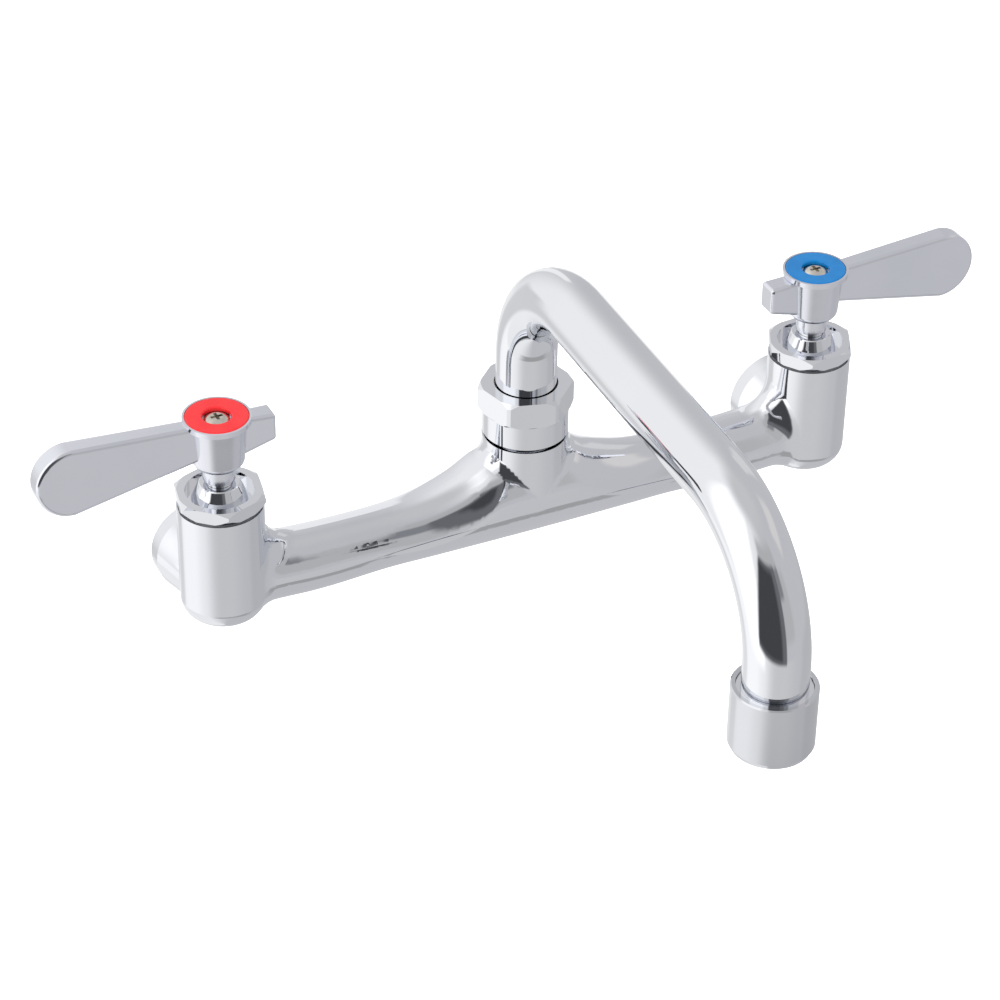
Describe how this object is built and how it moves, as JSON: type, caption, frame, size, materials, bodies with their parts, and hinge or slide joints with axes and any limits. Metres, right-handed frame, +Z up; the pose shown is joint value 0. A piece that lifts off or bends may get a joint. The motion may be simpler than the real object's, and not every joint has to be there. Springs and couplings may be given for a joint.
{
  "type": "wall faucet",
  "caption": "Wall-mounted mixing faucet with lever valves for hot and cold water and a swivelling bent-tube spout over the basin.",
  "frame": {"origin": "on the wall plane, half way between the two inlets, at the height of the inlet axes", "axes": "+X from the hot inlet towards the cold inlet, +Y into the wall, +Z up; the spout points along -Y"},
  "size_m": [0.318, 0.1904, 0.1113],
  "materials": {
    "aerator_housing": "polished chrome plate",
    "aerator_insert": "moulded",
    "aerator_screen": "woven steel",
    "aerator_washer": "matt",
    "cold_bonnet": "polished chrome plate",
    "cold_bonnet_gasket": "matt",
    "cold_cartridge_cage": "moulded",
    "cold_fixed_disc": "lapped ceramic",
    "cold_handle_screw": "zinc plate",
    "cold_index_ring": "moulded",
    "cold_lever_handle": "chrome plate, satin flats",
    "cold_moving_disc": "lapped ceramic",
    "cold_seat_seal": "matt",
    "cold_stem_seal": "matt",
    "cold_valve_stem": "machined",
    "faucet_body": "polished chrome plate",
    "hot_bonnet": "polished chrome plate",
    "hot_bonnet_gasket": "matt",
    "hot_cartridge_cage": "moulded",
    "hot_fixed_disc": "lapped ceramic",
    "hot_handle_screw": "zinc plate",
    "hot_index_ring": "moulded",
    "hot_lever_handle": "chrome plate, satin flats",
    "hot_moving_disc": "lapped ceramic",
    "hot_seat_seal": "matt",
    "hot_stem_seal": "matt",
    "hot_valve_stem": "machined",
    "outlet_adapter": "machined",
    "spout_bearing_ring": "machined",
    "spout_lower_seal": "matt",
    "spout_nut": "polished chrome plate",
    "spout_spigot": "machined",
    "spout_thrust_washer": "moulded",
    "spout_tube": "polished chrome plate",
    "spout_upper_seal": "matt"
  },
  "bodies": {
    "body": {"faucet_body": "faucet_body", "hot_bonnet": "hot_bonnet", "hot_bonnet_gasket": "hot_bonnet_gasket", "hot_cartridge_cage": "hot_cartridge_cage", "hot_fixed_disc": "hot_fixed_disc", "hot_seat_seal": "hot_seat_seal", "cold_bonnet": "cold_bonnet", "cold_bonnet_gasket": "cold_bonnet_gasket", "cold_cartridge_cage": "cold_cartridge_cage", "cold_fixed_disc": "cold_fixed_disc", "cold_seat_seal": "cold_seat_seal", "spout_nut": "spout_nut", "spout_thrust_washer": "spout_thrust_washer", "spout_bearing_ring": "spout_bearing_ring"},
    "hot_valve": {"hot_lever_handle": "hot_lever_handle", "hot_index_ring": "hot_index_ring", "hot_handle_screw": "hot_handle_screw", "hot_valve_stem": "hot_valve_stem", "hot_stem_seal": "hot_stem_seal", "hot_moving_disc": "hot_moving_disc"},
    "cold_valve": {"cold_lever_handle": "cold_lever_handle", "cold_index_ring": "cold_index_ring", "cold_handle_screw": "cold_handle_screw", "cold_valve_stem": "cold_valve_stem", "cold_stem_seal": "cold_stem_seal", "cold_moving_disc": "cold_moving_disc"},
    "spout": {"spout_tube": "spout_tube", "spout_spigot": "spout_spigot", "spout_upper_seal": "spout_upper_seal", "spout_lower_seal": "spout_lower_seal", "outlet_adapter": "outlet_adapter", "aerator_housing": "aerator_housing", "aerator_washer": "aerator_washer", "aerator_insert": "aerator_insert", "aerator_screen": "aerator_screen"}
  },
  "joints": [
    {"name": "hot_valve_turn", "type": "hinge", "parent": "body", "child": "hot_valve", "pos_m": [-0.1016, -0.022, 0.045], "axis": [0, 0, 1], "range_deg": [0, 90]},
    {"name": "cold_valve_turn", "type": "hinge", "parent": "body", "child": "cold_valve", "pos_m": [0.1016, -0.022, 0.045], "axis": [0, 0, 1], "range_deg": [-90, 0]},
    {"name": "spout_swivel", "type": "hinge", "parent": "body", "child": "spout", "pos_m": [0, -0.022, 0.038], "axis": [0, 0, 1], "range_deg": [-65, 65]}
  ]
}
